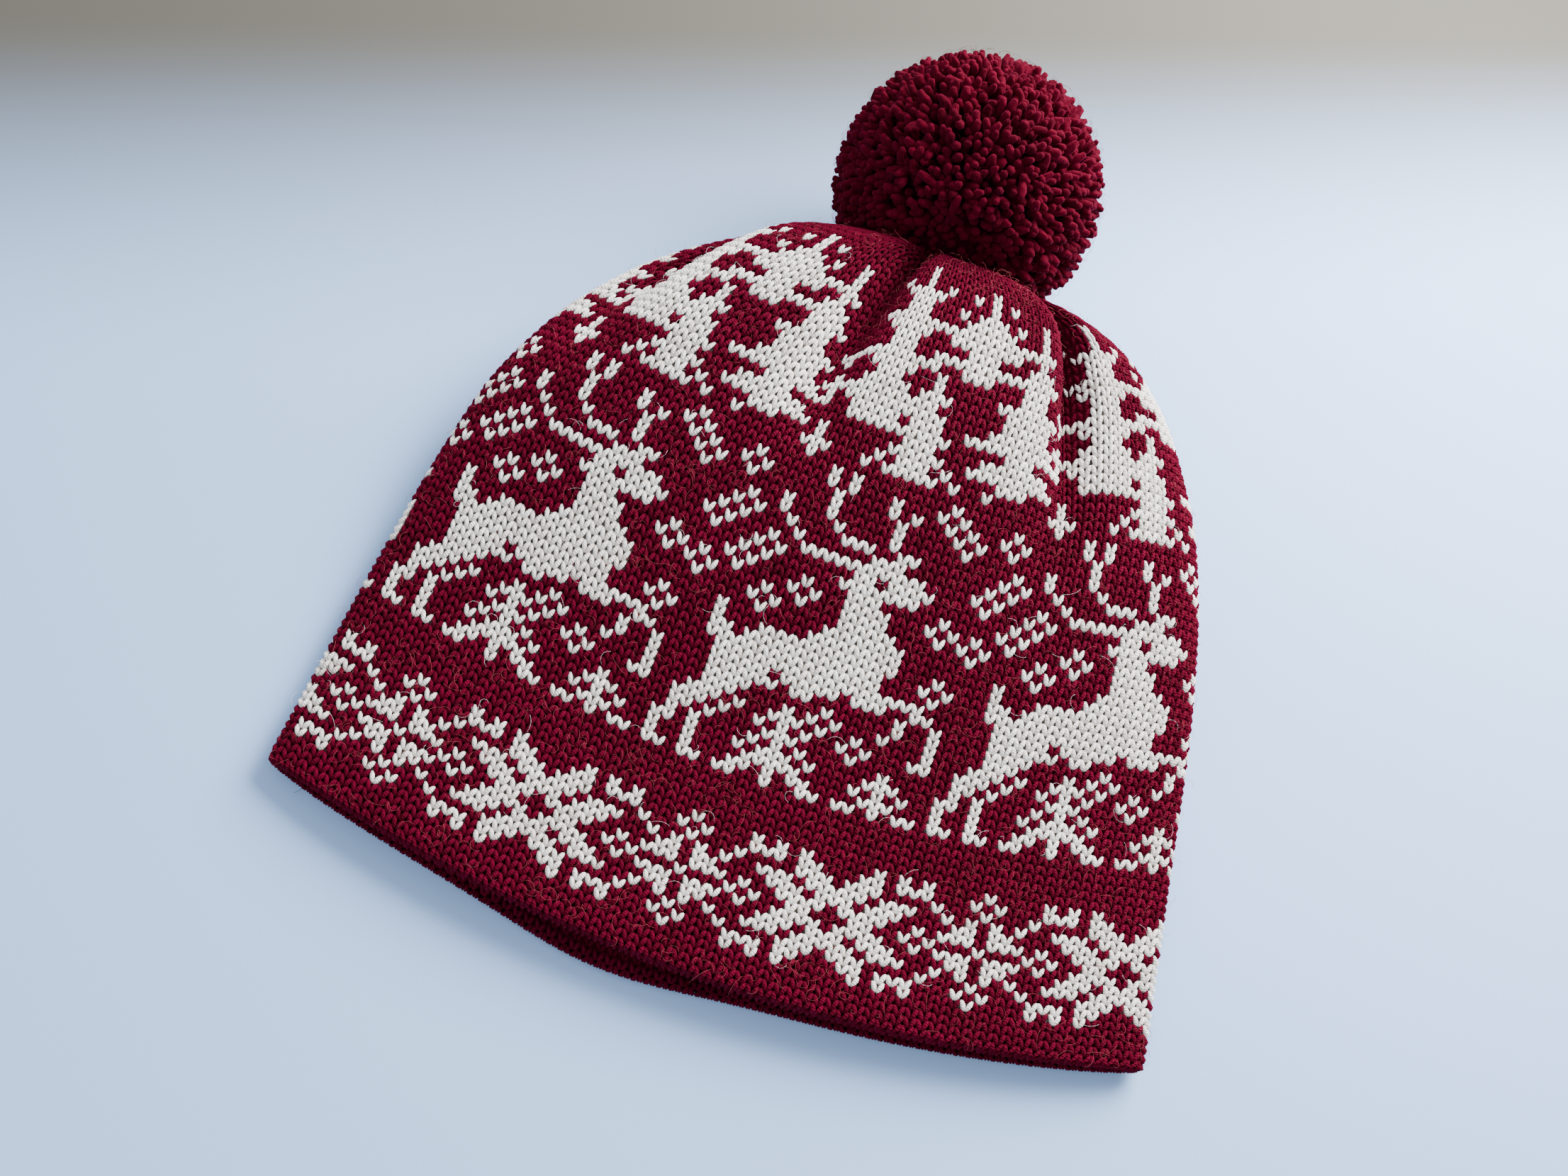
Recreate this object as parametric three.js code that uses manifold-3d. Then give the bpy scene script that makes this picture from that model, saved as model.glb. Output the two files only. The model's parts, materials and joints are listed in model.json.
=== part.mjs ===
// A stranded-knit winter hat with a pompom, lying flat as it was laid down.
// Millimetres, +Z up, the floor at z = 0, +Y from the brim to the pompom and +X across.
// The knitted tube is closed by gathering its last row, and a tie holds the pompom on it.
import * as THREE from 'three';
import { mergeVertices } from 'three/addons/utils/BufferGeometryUtils.js';
import Module from 'manifold-3d';

// Knitting: 144 stitches round and 90 rows from the brim to the gathered end
const stitchesRound = 144;
const stitchWidth = 3.5;
const rows = 90;
const knitThickness = 3;
// The column that lies on top, midway between the two side folds
const topColumn = 15.5;

// Cross-sections across the lying tube, one for each listed row of knitting.
// along: distance from the brim at the middle of the top layer
// shift: how far the crown has slid sideways
// top and bottom: heights of the upper and the lower outer surface
// gather: share of the round that is drawn together
// bow: how much further back the side folds lie than the middle
// middle: share of the height at which the section is widest
const sections = [
  { row: 0, along: 0, shift: 0, top: 12, bottom: 0, gather: 0, bow: 18, middle: 0.45 },
  { row: 8, along: 22.4, shift: 0, top: 12.5, bottom: 0, gather: 0, bow: 18.5, middle: 0.45 },
  { row: 20, along: 55, shift: 0, top: 15.5, bottom: 0, gather: 0, bow: 20, middle: 0.45 },
  { row: 32, along: 87, shift: 0, top: 24, bottom: 0, gather: 0, bow: 22, middle: 0.45 },
  { row: 44, along: 118.5, shift: 0, top: 34.5, bottom: 0, gather: 0.01, bow: 24, middle: 0.46 },
  { row: 56, along: 150, shift: 1.5, top: 45, bottom: 0, gather: 0.055, bow: 25, middle: 0.47 },
  { row: 66, along: 177, shift: 3.5, top: 53, bottom: 0, gather: 0.135, bow: 23, middle: 0.48 },
  { row: 74, along: 200, shift: 6, top: 58, bottom: 1, gather: 0.24, bow: 18, middle: 0.5 },
  { row: 80, along: 217, shift: 7, top: 60, bottom: 5, gather: 0.36, bow: 12, middle: 0.5 },
  { row: 84, along: 227, shift: 7, top: 58, bottom: 12, gather: 0.52, bow: 7, middle: 0.5 },
  { row: 87, along: 231.5, shift: 7, top: 53.5, bottom: 21, gather: 0.7, bow: 3, middle: 0.5 },
  { row: 89, along: 230.5, shift: 7, top: 48, bottom: 29, gather: 0.86, bow: 0.5, middle: 0.5 },
  { row: 90, along: 228.5, shift: 7, top: 46, bottom: 32, gather: 0.91, bow: 0, middle: 0.5 },
];

// Lengthwise folds of the crown, one for each crease between two lobes.
// The crease starts to sink in at fromRow and is at its full depth at fullRow.
const folds = [
  { column: -14.5, fromRow: 48, fullRow: 76, depth: 11, width: 3 },
  { column: 9.5, fromRow: 54, fullRow: 76, depth: 13, width: 2.6 },
  { column: 34, fromRow: 44, fullRow: 74, depth: 13, width: 2.6 },
  { column: 57.5, fromRow: 60, fullRow: 80, depth: 6, width: 3 },
  { column: 81.5, fromRow: 60, fullRow: 80, depth: 6, width: 3 },
  { column: 105.5, fromRow: 60, fullRow: 80, depth: 6, width: 3 },
];
const lobeColumns = stitchesRound / folds.length;
const foldPhase = 9.75;
// A crease never takes more than this share of the half width
const foldLimit = 0.34;

// How round the upper layer is, and how flat the lower layer lies
const topPower = 2.3;
const floorPower = 3.6;
const floorSink = 1.2;

// The lower layer's edge shows a little beyond the upper one, left of the middle
const lowerLip = { column: 94.5, width: 9, reach: 4, rows: 8 };

// Pompom: cut yarn in thick locks on a round head, pressed flat on the crown and on the floor
const pompom = {
  centre: new THREE.Vector3(4, 273, 45.5), radius: 46.5, headRadius: 39, lockCount: 32,
  lockRoot: 26, lockWidth: 13, lockSides: 5, shortest: 0.955,
};
const gap = 0.3;

// Tie: a plain cord through the gathered end, with a knot against it inside the hat
const tie = { radius: 2.6, knotRadius: 7, knotLength: 4, sides: 12, height: 39 };

const colours = { knit: 0x6d1230, pompom: 0x6a0f2b, tie: 0x5c0d26 };
const woolRoughness = 0.95;

function monotoneColumn(name) {
  const slopes = sections.slice(1).map((next, i) =>
    (next[name] - sections[i][name]) / (next.row - sections[i].row));
  const tangents = sections.map((section, i) => {
    if (i === 0) return slopes[0];
    if (i === sections.length - 1) return slopes[i - 1];
    const [before, after] = [slopes[i - 1], slopes[i]];
    return before * after <= 0 ? 0 : 2 * before * after / (before + after);
  });
  return (row) => {
    let i = 0;
    while (i < sections.length - 2 && row > sections[i + 1].row) i += 1;
    const span = sections[i + 1].row - sections[i].row;
    const t = (row - sections[i].row) / span;
    const [a, b] = [sections[i][name], sections[i + 1][name]];
    return (1 + 2 * t) * (1 - t) ** 2 * a + t * (1 - t) ** 2 * span * tangents[i]
      + t * t * (3 - 2 * t) * b + t * t * (t - 1) * span * tangents[i + 1];
  };
}

const sectionColumns = Object.fromEntries(
  ['along', 'shift', 'top', 'bottom', 'gather', 'bow', 'middle'].map((name) => [name, monotoneColumn(name)]));

function sectionAt(row) {
  return Object.fromEntries(Object.entries(sectionColumns).map(([name, at]) => [name, at(row)]));
}

function smoothStep(t) {
  const s = Math.min(Math.max(t, 0), 1);
  return s * s * (3 - 2 * s);
}

// Closed section curve from the top middle round by +X, inset by a share of the wall
const curveSteps = 240;

function sectionCurve(section, halfWidth, inset) {
  const waist = section.bottom + (section.top - section.bottom) * section.middle;
  const up = section.top - waist - inset;
  const down = waist - section.bottom - inset;
  const points = [];
  for (let i = 0; i <= curveSteps; i += 1) {
    const angle = (2 * Math.PI * i) / curveSteps;
    const cos = Math.cos(angle);
    const sin = Math.sin(angle);
    const power = 2 / (cos >= 0 ? topPower : floorPower);
    const reach = cos >= 0 ? up : down + floorSink;
    const x = (halfWidth - inset) * Math.sign(sin) * Math.abs(sin) ** power;
    const z = waist + Math.sign(cos) * reach * Math.abs(cos) ** power;
    points.push({ x, z: Math.max(z, section.bottom + inset), length: 0 });
    if (i > 0) {
      const last = points[i - 1];
      points[i].length = last.length + Math.hypot(points[i].x - last.x, points[i].z - last.z);
    }
  }
  return points;
}

// The half width follows from the length of knitting that goes round
function halfWidthAt(section) {
  const round = stitchesRound * stitchWidth * (1 - section.gather);
  let [low, high] = [2, round / 3.9];
  for (let step = 0; step < 30; step += 1) {
    const half = (low + high) / 2;
    if (sectionCurve(section, half, 0)[curveSteps].length > round) high = half;
    else low = half;
  }
  return low;
}

function pointOnCurve(curve, length) {
  const total = curve[curveSteps].length;
  const wanted = ((length % total) + total) % total;
  let [low, high] = [0, curveSteps];
  while (high - low > 1) {
    const mid = (low + high) >> 1;
    if (curve[mid].length > wanted) high = mid;
    else low = mid;
  }
  const t = (wanted - curve[low].length) / (curve[high].length - curve[low].length || 1);
  return {
    x: curve[low].x + t * (curve[high].x - curve[low].x),
    z: curve[low].z + t * (curve[high].z - curve[low].z),
  };
}

function columnsApart(a, b) {
  const half = stitchesRound / 2;
  return ((((a - b + half) % stitchesRound) + stitchesRound) % stitchesRound) - half;
}

function creaseDepth(column, row, halfWidth) {
  return folds.reduce((sum, fold) => {
    const grown = fold.depth * smoothStep((row - fold.fromRow) / (fold.fullRow - fold.fromRow));
    const away = columnsApart(column, fold.column) / fold.width;
    return sum + Math.min(grown, foldLimit * halfWidth) * Math.exp(-away * away);
  }, 0);
}

// One row of the knitted wall at the given columns, on its outer face or inset towards its inner one
function knitRow(row, columns, inset) {
  const section = sectionAt(row);
  const halfWidth = halfWidthAt(section);
  const curve = sectionCurve(section, halfWidth, inset);
  const perColumn = curve[curveSteps].length / stitchesRound;
  const spread = Math.min(0.4, 1.2 * section.gather);
  return columns.map((column) => {
    const wave = (2 * Math.PI * (column - foldPhase)) / lobeColumns;
    const place = (column - topColumn - spread * (lobeColumns / (2 * Math.PI)) * Math.sin(wave)) * perColumn;
    const here = pointOnCurve(curve, place);
    const before = pointOnCurve(curve, place - 0.5);
    const after = pointOnCurve(curve, place + 0.5);
    const turn = Math.hypot(after.x - before.x, after.z - before.z) || 1;
    const depth = creaseDepth(column, row, halfWidth);
    const x = here.x + ((after.z - before.z) / turn) * depth;
    const z = here.z - ((after.x - before.x) / turn) * depth;
    const lip = lowerLip.reach * (1 - smoothStep(row / lowerLip.rows))
      * Math.exp(-((columnsApart(column, lowerLip.column) / lowerLip.width) ** 2));
    const y = section.along + section.bow * (here.x / halfWidth) ** 2 - lip;
    return new THREE.Vector3(x + section.shift, y, Math.max(z, section.bottom + inset));
  });
}

// Mesh columns: close together at each crease and at the two side folds
const creaseOffsets = [-8, -5, -2.8, -1.3, 0, 1.3, 2.8, 5, 8, 12];
const sideOffsets = [-1.4, 0, 1.4];
const sideFolds = [topColumn - stitchesRound / 4, topColumn + stitchesRound / 4];

function meshColumns() {
  const wanted = sideFolds.flatMap((side) => sideOffsets.map((offset) => side + offset));
  for (const fold of folds) {
    for (const offset of creaseOffsets) {
      const column = fold.column + offset;
      if (sideFolds.every((side) => Math.abs(columnsApart(column, side)) > 2.2)) wanted.push(column);
    }
  }
  const start = topColumn - stitchesRound / 2;
  return wanted.map((column) => start + (((column - start) % stitchesRound) + stitchesRound) % stitchesRound)
    .sort((a, b) => a - b);
}

// Mesh rows: every fourth row up to the crown, every second one on it, every one at the end
function meshRows() {
  const list = [];
  for (let row = 0; row < rows; row += row < 56 ? 4 : row < 82 ? 2.6 : 1.5) list.push(row);
  return [...list, rows];
}

function closedGeometry(rings) {
  const around = rings[0].length;
  const vertices = new Float32Array(rings.flat().flatMap((point) => [point.x, point.y, point.z]));
  const index = [];
  rings.forEach((ring, i) => {
    const next = (i + 1) % rings.length;
    for (let j = 0; j < around; j += 1) {
      const k = (j + 1) % around;
      const [a, b, c, d] = [i * around + j, i * around + k, next * around + k, next * around + j];
      index.push(a, b, c, a, c, d);
    }
  });
  const geometry = new THREE.BufferGeometry();
  geometry.setAttribute('position', new THREE.BufferAttribute(vertices, 3));
  geometry.setIndex(index);
  return geometry;
}

function knitBody() {
  const columns = meshColumns();
  const rowList = meshRows();
  const outer = rowList.map((row) => knitRow(row, columns, 0));
  const inner = rowList.map((row) => knitRow(row, columns, knitThickness));
  // The brim's edge is rounded over by one ring in the middle of the wall
  const edge = knitRow(0, columns, knitThickness / 2).map((point) => point.setY(point.y - knitThickness / 3));
  return closedGeometry([edge, ...outer, ...inner.reverse()]);
}

function solidOf(wasm, geometry) {
  const bare = geometry.clone();
  bare.deleteAttribute('normal');
  bare.deleteAttribute('uv');
  const merged = mergeVertices(bare, 1e-4);
  const index = [...merged.index.array];
  const kept = [];
  for (let i = 0; i < index.length; i += 3) {
    const [a, b, c] = index.slice(i, i + 3);
    if (a !== b && b !== c && c !== a) kept.push(a, b, c);
  }
  return new wasm.Manifold(new wasm.Mesh({
    numProp: 3, vertProperties: new Float32Array(merged.attributes.position.array), triVerts: new Uint32Array(kept),
  }));
}

function geometryOf(solid) {
  const mesh = solid.getMesh();
  const geometry = new THREE.BufferGeometry();
  geometry.setAttribute('position', new THREE.BufferAttribute(new Float32Array(mesh.vertProperties), 3));
  geometry.setIndex([...mesh.triVerts]);
  return geometry;
}

// Lock directions are spread evenly on the sphere by the golden angle
function lockDirection(i) {
  const z = 1 - (2 * i + 1) / pompom.lockCount;
  const ring = Math.sqrt(1 - z * z);
  const angle = i * Math.PI * (3 - Math.sqrt(5));
  return new THREE.Vector3(ring * Math.cos(angle), ring * Math.sin(angle), z);
}

function lockGeometry(i) {
  const share = pompom.shortest + (1 - pompom.shortest) * (0.5 + 0.5 * Math.sin(i * 2.4));
  const tip = pompom.radius * share;
  const profile = [[0, pompom.lockRoot], [pompom.lockWidth, pompom.lockRoot],
    [pompom.lockWidth * 0.86, tip - 3.5], [0, tip]].map(([radius, reach]) => new THREE.Vector2(radius, reach));
  const lock = new THREE.LatheGeometry(profile, pompom.lockSides);
  const turn = new THREE.Quaternion().setFromUnitVectors(new THREE.Vector3(0, 1, 0), lockDirection(i));
  return lock.applyQuaternion(turn).translate(...pompom.centre);
}

// The crown's end presses the pompom flat at crownSeat
function pompomSolid(wasm, crownSeat) {
  const head = new THREE.IcosahedronGeometry(pompom.headRadius, 1).translate(...pompom.centre);
  let solid = solidOf(wasm, head);
  for (let i = 0; i < pompom.lockCount; i += 1) solid = solid.add(solidOf(wasm, lockGeometry(i)));
  const block = 3 * pompom.radius;
  const crown = new THREE.BoxGeometry(block, block, block)
    .translate(pompom.centre.x, crownSeat + gap - block / 2, pompom.centre.z);
  const floor = new THREE.BoxGeometry(block, block, block).translate(pompom.centre.x, pompom.centre.y, -block / 2);
  return solid.subtract(solidOf(wasm, crown)).subtract(solidOf(wasm, floor));
}

// Cord and knot in one turned profile: from the knot inside the hat to the pompom
function tieGeometry(crownSeat) {
  const end = sections.at(-1);
  const knotFrom = end.along - gap - tie.knotLength;
  const length = crownSeat - knotFrom;
  const profile = [[0, 0], [tie.knotRadius, 0], [tie.knotRadius, tie.knotLength], [tie.radius, tie.knotLength],
    [tie.radius, length], [0, length]].map(([radius, reach]) => new THREE.Vector2(radius, reach));
  return new THREE.LatheGeometry(profile, tie.sides).translate(end.shift, knotFrom, tie.height);
}

function namedMesh(name, geometry, colour) {
  const material = new THREE.MeshStandardMaterial({ color: colour, roughness: woolRoughness, metalness: 0 });
  const mesh = new THREE.Mesh(geometry, material);
  mesh.name = name;
  return mesh;
}

const wasm = await Module();
wasm.setup();

const hat = new THREE.Group();
const knitted = namedMesh('knit_body', knitBody(), colours.knit);
const crownSeat = new THREE.Box3().setFromObject(knitted).max.y;
hat.add(knitted);
hat.add(namedMesh('pompom', geometryOf(pompomSolid(wasm, crownSeat)), colours.pompom));
hat.add(namedMesh('pompom_tie', geometryOf(solidOf(wasm, tieGeometry(crownSeat))), colours.tie));

// The origin is the middle of the hat's box, on the floor
const box = new THREE.Box3().setFromObject(hat);
const middle = box.getCenter(new THREE.Vector3());
hat.position.set(-middle.x, -middle.y, -box.min.z);
hat.updateMatrixWorld(true);

export default hat;
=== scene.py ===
# A knitted winter hat with a pompom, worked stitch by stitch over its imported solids.
# Metres, +Z up, the floor at z = 0, +Y from the brim to the pompom.
import json
import math
import bpy
import numpy as np
from mathutils import Matrix, Vector

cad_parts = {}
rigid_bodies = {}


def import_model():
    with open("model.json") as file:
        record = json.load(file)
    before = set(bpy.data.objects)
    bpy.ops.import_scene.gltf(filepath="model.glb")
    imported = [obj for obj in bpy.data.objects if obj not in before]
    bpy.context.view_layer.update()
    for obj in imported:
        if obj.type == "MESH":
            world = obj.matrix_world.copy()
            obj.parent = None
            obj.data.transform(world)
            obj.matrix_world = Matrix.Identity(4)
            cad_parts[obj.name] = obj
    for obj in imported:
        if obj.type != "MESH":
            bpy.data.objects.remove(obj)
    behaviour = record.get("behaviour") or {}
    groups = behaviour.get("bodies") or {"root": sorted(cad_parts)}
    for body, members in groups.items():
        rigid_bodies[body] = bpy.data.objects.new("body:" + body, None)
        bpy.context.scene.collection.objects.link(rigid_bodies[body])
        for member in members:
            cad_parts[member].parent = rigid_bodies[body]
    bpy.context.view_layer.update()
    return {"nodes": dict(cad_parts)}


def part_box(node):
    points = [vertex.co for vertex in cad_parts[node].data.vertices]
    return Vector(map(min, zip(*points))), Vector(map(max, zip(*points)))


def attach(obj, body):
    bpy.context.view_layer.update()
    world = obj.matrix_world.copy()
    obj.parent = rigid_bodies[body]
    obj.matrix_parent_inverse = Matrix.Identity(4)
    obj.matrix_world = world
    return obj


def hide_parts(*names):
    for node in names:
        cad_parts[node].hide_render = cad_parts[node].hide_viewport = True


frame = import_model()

print("frame loaded:", ", ".join(sorted(frame["nodes"])))

mm = 0.001

# Camera at the photograph's viewing angle
cameraView = dict(
    down=57.8, roll=22.2, yaw=2.6,       # degrees
    place=(-20.0, -103.0, 364.0),        # mm, in the hat's own frame
    lens=31.41, sensor=36.0,
)

# The knot of the tie gives the place of the hat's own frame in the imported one
tieKnot = dict(x=7.0, y=224.2, z=39.0)   # mm: middle, near end, middle
tieLow, tieHigh = [Vector(corner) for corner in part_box("pompom_tie")]
hatPlace = Vector((
    (tieLow.x + tieHigh.x) / 2 - tieKnot["x"] * mm,
    tieLow.y - tieKnot["y"] * mm,
    (tieLow.z + tieHigh.z) / 2 - tieKnot["z"] * mm,
))


def makeCamera():
    down = math.radians(cameraView["down"])
    yaw = math.radians(cameraView["yaw"])
    roll = math.radians(cameraView["roll"])
    ahead = Vector((math.sin(yaw) * math.cos(down), math.cos(yaw) * math.cos(down), -math.sin(down)))
    level = Vector((math.cos(yaw), -math.sin(yaw), 0.0))
    above = level.cross(ahead)
    right = level * math.cos(roll) + above * math.sin(roll)
    up = above * math.cos(roll) - level * math.sin(roll)
    turn = Matrix((right, up, -ahead)).transposed().to_4x4()
    bpy.ops.object.camera_add()
    camera = bpy.context.object
    camera.name = "photoCamera"
    camera.matrix_world = Matrix.Translation(hatPlace + Vector(cameraView["place"]) * mm) @ turn
    camera.data.lens = cameraView["lens"]
    camera.data.sensor_width = cameraView["sensor"]
    camera.data.sensor_fit = 'HORIZONTAL'
    camera.data.clip_start = 0.01
    camera.data.dof.use_dof = False
    bpy.context.scene.camera = camera


# Knitted surface
# The sections are those of the solid, in millimetres
knit = dict(
    stitchesRound=144, stitchWidth=3.5, rows=86, wall=3.0, brimRadius=1.5,
    rowHeight=2.42, hemRowHeight=2.8,
    topColumn=15.5, topPower=2.3, floorPower=3.6, floorSink=1.2,
    foldPhase=9.75, foldLimit=0.34, foldSpread=0.28, columnShift=0.12,
    # row, along, shift, top, bottom, gather, bow, middle
    sections=[
        (0, 0, 0, 12, 0, 0, 18, 0.45),
        (8, 22.4, 0, 12.5, 0, 0, 18.5, 0.45),
        (20, 55, 0, 15.5, 0, 0, 20, 0.45),
        (32, 87, 0, 24, 0, 0, 22, 0.45),
        (44, 118.5, 0, 34.5, 0, 0.01, 24, 0.46),
        (56, 150, 1.5, 45, 0, 0.055, 25, 0.47),
        (66, 177, 3.5, 53, 0, 0.135, 23, 0.48),
        (74, 200, 6, 58, 1, 0.24, 18, 0.5),
        (80, 217, 7, 60, 5, 0.36, 12, 0.5),
        (84, 227, 7, 58, 12, 0.52, 7, 0.5),
        (87, 231.5, 7, 53.5, 21, 0.7, 3, 0.5),
        (89, 230.5, 7, 48, 29, 0.86, 0.5, 0.5),
        (90, 228.5, 7, 46, 32, 0.91, 0, 0.5),
    ],
    # column, fromRow, fullRow, depth, width; the second is 1.5 columns off the solid's
    folds=[
        (-14.5, 48, 76, 11, 3),
        (8.0, 52, 74, 14, 2.6),
        (34, 44, 74, 13, 2.6),
        (57.5, 60, 80, 6, 3),
        (81.5, 60, 80, 6, 3),
        (105.5, 60, 80, 6, 3),
    ],
    lipColumn=94.5, lipWidth=9, lipReach=4, lipRows=8,
    # knitted row against the row of the section table
    rowTable=[(1, 0), (11, 8.65), (23, 20.05), (38, 34.9), (57, 56.1), (79, 82), (86, 90)],
    gridStep=0.25, firstRow=-6.0,
    curvePoints=481, fitSteps=26, narrowest=2.0,
    flatness=3.9,                         # every section's round is longer than this many half widths
    gatherSpread=1.2,                     # how soon the gathering draws stitches out of the creases
)


def monotone(places, values):
    places = np.array(places, float)
    values = np.array(values, float)
    slopes = np.diff(values) / np.diff(places)
    tangents = np.zeros(len(values))
    tangents[0], tangents[-1] = slopes[0], slopes[-1]
    for i in range(1, len(values) - 1):
        before, after = slopes[i - 1], slopes[i]
        tangents[i] = 0 if before * after <= 0 else 2 * before * after / (before + after)

    def at(place):
        i = int(np.clip(np.searchsorted(places, place, side='left') - 1, 0, len(places) - 2))
        span = places[i + 1] - places[i]
        t = (place - places[i]) / span
        return ((1 + 2 * t) * (1 - t) ** 2 * values[i] + t * (1 - t) ** 2 * span * tangents[i]
                + t * t * (3 - 2 * t) * values[i + 1] + t * t * (t - 1) * span * tangents[i + 1])

    return at


sectionNames = ["along", "shift", "top", "bottom", "gather", "bow", "middle"]
sectionRows = [line[0] for line in knit["sections"]]
sectionAt = {name: monotone(sectionRows, [line[i + 1] for line in knit["sections"]])
             for i, name in enumerate(sectionNames)}
modelRow = monotone(*zip(*knit["rowTable"]))


def smoothStep(t):
    t = np.clip(t, 0, 1)
    return t * t * (3 - 2 * t)


def columnsApart(a, b):
    half = knit["stitchesRound"] / 2
    return (a - b + half) % knit["stitchesRound"] - half


def sectionCurve(section, halfWidth, inset):
    waist = section["bottom"] + (section["top"] - section["bottom"]) * section["middle"]
    up = section["top"] - waist - inset
    down = waist - section["bottom"] - inset
    angle = np.linspace(0, 2 * math.pi, knit["curvePoints"])
    cos, sin = np.cos(angle), np.sin(angle)
    power = 2 / np.where(cos >= 0, knit["topPower"], knit["floorPower"])
    reach = np.where(cos >= 0, up, down + knit["floorSink"])
    x = (halfWidth - inset) * np.sign(sin) * np.abs(sin) ** power
    z = np.maximum(waist + np.sign(cos) * reach * np.abs(cos) ** power, section["bottom"] + inset)
    length = np.concatenate([[0], np.cumsum(np.hypot(np.diff(x), np.diff(z)))])
    return x, z, length


def halfWidthAt(section):
    wanted = knit["stitchesRound"] * knit["stitchWidth"] * (1 - section["gather"])
    low, high = knit["narrowest"], wanted / knit["flatness"]
    for _ in range(knit["fitSteps"]):
        half = (low + high) / 2
        if sectionCurve(section, half, 0)[2][-1] > wanted:
            high = half
        else:
            low = half
    return low


def knitRing(row, columns, inset=0.0):
    section = {name: at(row) for name, at in sectionAt.items()}
    half = halfWidthAt(section)
    x, z, length = sectionCurve(section, half, inset)
    total = length[-1]
    lobe = knit["stitchesRound"] / len(knit["folds"])
    spread = min(knit["foldSpread"], knit["gatherSpread"] * section["gather"])
    wave = np.sin(2 * math.pi * (columns - knit["foldPhase"]) / lobe)
    drawn = spread * lobe / (2 * math.pi) * wave
    place = (columns - knit["topColumn"] - drawn) * total / knit["stitchesRound"]

    def pointAt(reach):
        reach = reach % total
        return np.interp(reach, length, x), np.interp(reach, length, z)

    hereX, hereZ = pointAt(place)
    beforeX, beforeZ = pointAt(place - 0.5)
    afterX, afterZ = pointAt(place + 0.5)
    turn = np.hypot(afterX - beforeX, afterZ - beforeZ) + 1e-9
    depth = np.zeros_like(columns)
    for column, fromRow, fullRow, deep, width in knit["folds"]:
        grown = deep * smoothStep((row - fromRow) / (fullRow - fromRow))
        away = columnsApart(columns, column) / width
        depth += min(grown, knit["foldLimit"] * half) * np.exp(-away ** 2)
    lipAway = columnsApart(columns, knit["lipColumn"]) / knit["lipWidth"]
    lip = knit["lipReach"] * (1 - smoothStep(row / knit["lipRows"])) * np.exp(-lipAway ** 2)
    pointX = hereX + (afterZ - beforeZ) / turn * depth + section["shift"]
    pointZ = np.maximum(hereZ - (afterX - beforeX) / turn * depth, section["bottom"] + inset)
    pointY = section["along"] + section["bow"] * (hereX / half) ** 2 - lip
    return np.column_stack([pointX, pointY, pointZ])


def unit(vectors):
    return vectors / (np.linalg.norm(vectors, axis=-1, keepdims=True) + 1e-12)


# The surface as a fine grid of points and outward normals, which goes on round the brim's edge
def surfaceGrid():
    step = knit["gridStep"]
    columns = np.arange(0, knit["stitchesRound"], step)
    rowList = np.arange(knit["firstRow"], knit["rows"] + step / 2, step)
    outerEdge = knitRing(0, columns, 0)
    middleEdge = knitRing(0, columns, knit["wall"] / 2)
    innerEdge = knitRing(0, columns, knit["wall"])
    outward = unit(outerEdge - innerEdge)
    forward = unit(outerEdge - knitRing(1, columns, 0))
    radius = knit["brimRadius"]
    rings = []
    for row in rowList:
        if row >= 1:
            rings.append(knitRing(modelRow(row), columns, 0))
            continue
        reach = (1 - row) * knit["rowHeight"]
        if reach <= math.pi * radius:
            angle = reach / radius
            rings.append(middleEdge + radius * (math.cos(angle) * outward + math.sin(angle) * forward))
        else:
            inside = (reach - math.pi * radius) / knit["hemRowHeight"]
            rings.append(knitRing(inside, columns, knit["wall"]))
    points = np.stack(rings)
    across = np.roll(points, -1, axis=1) - np.roll(points, 1, axis=1)
    along = np.gradient(points, axis=0)
    normals = unit(np.cross(across, along))
    width = np.linalg.norm(across, axis=2) / (2 * step)
    return points, normals, width


surfacePoints, surfaceNormals, surfaceWidth = surfaceGrid()


def onSurface(rows, columns):
    step = knit["gridStep"]
    rowPlace = np.clip((rows - knit["firstRow"]) / step, 0, surfacePoints.shape[0] - 1.001)
    columnPlace = (columns % knit["stitchesRound"]) / step
    i = rowPlace.astype(int)
    j = columnPlace.astype(int) % surfacePoints.shape[1]
    jNext = (j + 1) % surfacePoints.shape[1]
    s = (rowPlace - i)[..., None]
    t = (columnPlace - np.floor(columnPlace))[..., None]

    def blend(grid):
        return ((1 - s) * ((1 - t) * grid[i, j] + t * grid[i, jNext])
                + s * ((1 - t) * grid[i + 1, j] + t * grid[i + 1, jNext]))

    return blend(surfacePoints), unit(blend(surfaceNormals)), blend(surfaceWidth[..., None])[..., 0]


print("knitted surface laid out:", surfacePoints.shape[:2])

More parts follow.
